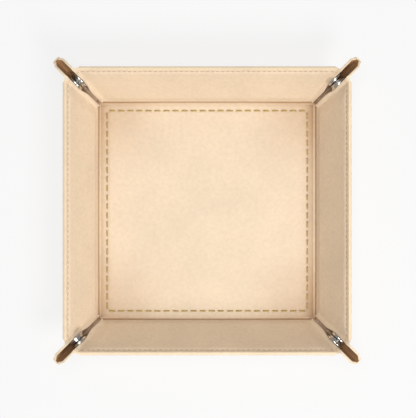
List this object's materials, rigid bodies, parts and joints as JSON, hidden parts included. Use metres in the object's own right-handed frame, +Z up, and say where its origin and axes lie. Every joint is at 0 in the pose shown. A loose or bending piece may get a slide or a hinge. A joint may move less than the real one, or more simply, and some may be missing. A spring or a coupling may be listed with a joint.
{
  "type": "folding dice tray",
  "caption": "Square soft leather tray whose board-stiffened walls stand up when its corners are pinched into ears and held by press studs; it unsnaps and folds flat.",
  "frame": {"origin": "centre of the tray's flat underside", "axes": "+Z up out of the tray; +X and +Y are square to its walls"},
  "size_m": [0.181, 0.181, 0.0348],
  "materials": {
    "lining_leather": "fine-grained matte beige leatherette, padded over the boards",
    "cover_leather": "fine-grained cream leatherette with a light cut edge",
    "board": "grey-brown stiffening board, hidden",
    "gold_thread": "twisted olive-gold sewing thread",
    "rim_thread": "tone-on-tone sewing thread",
    "snap_metal": "polished nickel-chrome press studs"
  },
  "bodies": {
    "base": {"base_cover": "cover_leather", "base_board": "board", "base_lining": "lining_leather", "base_stitching": "gold_thread"},
    "wall_east": {"wall_east_cover": "cover_leather", "wall_east_board": "board", "wall_east_lining": "lining_leather", "wall_east_stitching": "rim_thread"},
    "wall_north": {"wall_north_cover": "cover_leather", "wall_north_board": "board", "wall_north_lining": "lining_leather", "wall_north_stitching": "rim_thread"},
    "wall_west": {"wall_west_cover": "cover_leather", "wall_west_board": "board", "wall_west_lining": "lining_leather", "wall_west_stitching": "rim_thread"},
    "wall_south": {"wall_south_cover": "cover_leather", "wall_south_board": "board", "wall_south_lining": "lining_leather", "wall_south_stitching": "rim_thread"},
    "ear_ne_east": {"ear_ne_east_cover": "cover_leather", "ear_ne_east_lining": "lining_leather", "snap_ne_cap": "snap_metal", "snap_ne_socket": "snap_metal"},
    "fold_ne_east": {"fold_ne_east": "cover_leather"},
    "ear_se_east": {"ear_se_east_cover": "cover_leather", "ear_se_east_lining": "lining_leather", "snap_se_post": "snap_metal", "snap_se_stud": "snap_metal"},
    "fold_se_east": {"fold_se_east": "cover_leather"},
    "ear_nw_north": {"ear_nw_north_cover": "cover_leather", "ear_nw_north_lining": "lining_leather", "snap_nw_cap": "snap_metal", "snap_nw_socket": "snap_metal"},
    "fold_nw_north": {"fold_nw_north": "cover_leather"},
    "ear_ne_north": {"ear_ne_north_cover": "cover_leather", "ear_ne_north_lining": "lining_leather", "snap_ne_post": "snap_metal", "snap_ne_stud": "snap_metal"},
    "fold_ne_north": {"fold_ne_north": "cover_leather"},
    "ear_sw_west": {"ear_sw_west_cover": "cover_leather", "ear_sw_west_lining": "lining_leather", "snap_sw_cap": "snap_metal", "snap_sw_socket": "snap_metal"},
    "fold_sw_west": {"fold_sw_west": "cover_leather"},
    "ear_nw_west": {"ear_nw_west_cover": "cover_leather", "ear_nw_west_lining": "lining_leather", "snap_nw_post": "snap_metal", "snap_nw_stud": "snap_metal"},
    "fold_nw_west": {"fold_nw_west": "cover_leather"},
    "ear_se_south": {"ear_se_south_cover": "cover_leather", "ear_se_south_lining": "lining_leather", "snap_se_cap": "snap_metal", "snap_se_socket": "snap_metal"},
    "fold_se_south": {"fold_se_south": "cover_leather"},
    "ear_sw_south": {"ear_sw_south_cover": "cover_leather", "ear_sw_south_lining": "lining_leather", "snap_sw_post": "snap_metal", "snap_sw_stud": "snap_metal"},
    "fold_sw_south": {"fold_sw_south": "cover_leather"}
  },
  "joints": [
    {"name": "wall_east_fold", "type": "hinge", "parent": "base", "child": "wall_east", "pos_m": [0.066, 0, 0.0021], "axis": [0, 1, 0], "range_deg": [0, 62]},
    {"name": "wall_north_fold", "type": "hinge", "parent": "base", "child": "wall_north", "pos_m": [0, 0.066, 0.0021], "axis": [-1, 0, 0], "range_deg": [0, 62]},
    {"name": "wall_west_fold", "type": "hinge", "parent": "base", "child": "wall_west", "pos_m": [-0.066, 0, 0.0021], "axis": [0, -1, 0], "range_deg": [0, 62]},
    {"name": "wall_south_fold", "type": "hinge", "parent": "base", "child": "wall_south", "pos_m": [0, -0.066, 0.0021], "axis": [1, 0, 0], "range_deg": [0, 62]},
    {"name": "ear_ne_east_fold", "type": "hinge", "parent": "wall_east", "child": "ear_ne_east", "pos_m": [0.06565, 0.06459, 0.00304], "axis": [0.3382, 0.4607, 0.8206], "range_deg": [0, 51.58]},
    {"name": "strip_ne_east_fold", "type": "hinge", "parent": "ear_ne_east", "child": "fold_ne_east", "pos_m": [0.0698, 0.06768, 0.00708], "axis": [-0.5572, -0.5572, -0.6157], "range_deg": [0, 90.01]},
    {"name": "ear_se_east_fold", "type": "hinge", "parent": "wall_east", "child": "ear_se_east", "pos_m": [0.06565, -0.06459, 0.00304], "axis": [-0.3382, 0.4607, -0.8206], "range_deg": [0, 51.58]},
    {"name": "strip_se_east_fold", "type": "hinge", "parent": "ear_se_east", "child": "fold_se_east", "pos_m": [0.0698, -0.06768, 0.00708], "axis": [0.5572, -0.5572, 0.6157], "range_deg": [0, 90.01]},
    {"name": "ear_nw_north_fold", "type": "hinge", "parent": "wall_north", "child": "ear_nw_north", "pos_m": [-0.06459, 0.06565, 0.00304], "axis": [-0.4607, 0.3382, 0.8206], "range_deg": [0, 51.58]},
    {"name": "strip_nw_north_fold", "type": "hinge", "parent": "ear_nw_north", "child": "fold_nw_north", "pos_m": [-0.06768, 0.0698, 0.00708], "axis": [0.5572, -0.5572, -0.6157], "range_deg": [0, 90.01]},
    {"name": "ear_ne_north_fold", "type": "hinge", "parent": "wall_north", "child": "ear_ne_north", "pos_m": [0.06459, 0.06565, 0.00304], "axis": [-0.4607, -0.3382, -0.8206], "range_deg": [0, 51.58]},
    {"name": "strip_ne_north_fold", "type": "hinge", "parent": "ear_ne_north", "child": "fold_ne_north", "pos_m": [0.06768, 0.0698, 0.00708], "axis": [0.5572, 0.5572, 0.6157], "range_deg": [0, 90.01]},
    {"name": "ear_sw_west_fold", "type": "hinge", "parent": "wall_west", "child": "ear_sw_west", "pos_m": [-0.06565, -0.06459, 0.00304], "axis": [-0.3382, -0.4607, 0.8206], "range_deg": [0, 51.58]},
    {"name": "strip_sw_west_fold", "type": "hinge", "parent": "ear_sw_west", "child": "fold_sw_west", "pos_m": [-0.0698, -0.06768, 0.00708], "axis": [0.5572, 0.5572, -0.6157], "range_deg": [0, 90.01]},
    {"name": "ear_nw_west_fold", "type": "hinge", "parent": "wall_west", "child": "ear_nw_west", "pos_m": [-0.06565, 0.06459, 0.00304], "axis": [0.3382, -0.4607, -0.8206], "range_deg": [0, 51.58]},
    {"name": "strip_nw_west_fold", "type": "hinge", "parent": "ear_nw_west", "child": "fold_nw_west", "pos_m": [-0.0698, 0.06768, 0.00708], "axis": [-0.5572, 0.5572, 0.6157], "range_deg": [0, 90.01]},
    {"name": "ear_se_south_fold", "type": "hinge", "parent": "wall_south", "child": "ear_se_south", "pos_m": [0.06459, -0.06565, 0.00304], "axis": [0.4607, -0.3382, 0.8206], "range_deg": [0, 51.58]},
    {"name": "strip_se_south_fold", "type": "hinge", "parent": "ear_se_south", "child": "fold_se_south", "pos_m": [0.06768, -0.0698, 0.00708], "axis": [-0.5572, 0.5572, -0.6157], "range_deg": [0, 90.01]},
    {"name": "ear_sw_south_fold", "type": "hinge", "parent": "wall_south", "child": "ear_sw_south", "pos_m": [-0.06459, -0.06565, 0.00304], "axis": [0.4607, 0.3382, -0.8206], "range_deg": [0, 51.58]},
    {"name": "strip_sw_south_fold", "type": "hinge", "parent": "ear_sw_south", "child": "fold_sw_south", "pos_m": [-0.06768, -0.0698, 0.00708], "axis": [-0.5572, -0.5572, 0.6157], "range_deg": [0, 90.01]}
  ],
  "couplings": [
    {"joint": "wall_north_fold", "follows": "wall_east_fold", "ratio": 1},
    {"joint": "wall_west_fold", "follows": "wall_east_fold", "ratio": 1},
    {"joint": "wall_south_fold", "follows": "wall_east_fold", "ratio": 1},
    {"joint": "ear_ne_east_fold", "follows": "wall_east_fold", "ratio": 0.83184},
    {"joint": "strip_ne_east_fold", "follows": "wall_east_fold", "ratio": 1.4516},
    {"joint": "ear_se_east_fold", "follows": "wall_east_fold", "ratio": 0.83184},
    {"joint": "strip_se_east_fold", "follows": "wall_east_fold", "ratio": 1.4516},
    {"joint": "ear_nw_north_fold", "follows": "wall_east_fold", "ratio": 0.83184},
    {"joint": "strip_nw_north_fold", "follows": "wall_east_fold", "ratio": 1.4516},
    {"joint": "ear_ne_north_fold", "follows": "wall_east_fold", "ratio": 0.83184},
    {"joint": "strip_ne_north_fold", "follows": "wall_east_fold", "ratio": 1.4516},
    {"joint": "ear_sw_west_fold", "follows": "wall_east_fold", "ratio": 0.83184},
    {"joint": "strip_sw_west_fold", "follows": "wall_east_fold", "ratio": 1.4516},
    {"joint": "ear_nw_west_fold", "follows": "wall_east_fold", "ratio": 0.83184},
    {"joint": "strip_nw_west_fold", "follows": "wall_east_fold", "ratio": 1.4516},
    {"joint": "ear_se_south_fold", "follows": "wall_east_fold", "ratio": 0.83184},
    {"joint": "strip_se_south_fold", "follows": "wall_east_fold", "ratio": 1.4516},
    {"joint": "ear_sw_south_fold", "follows": "wall_east_fold", "ratio": 0.83184},
    {"joint": "strip_sw_south_fold", "follows": "wall_east_fold", "ratio": 1.4516}
  ]
}
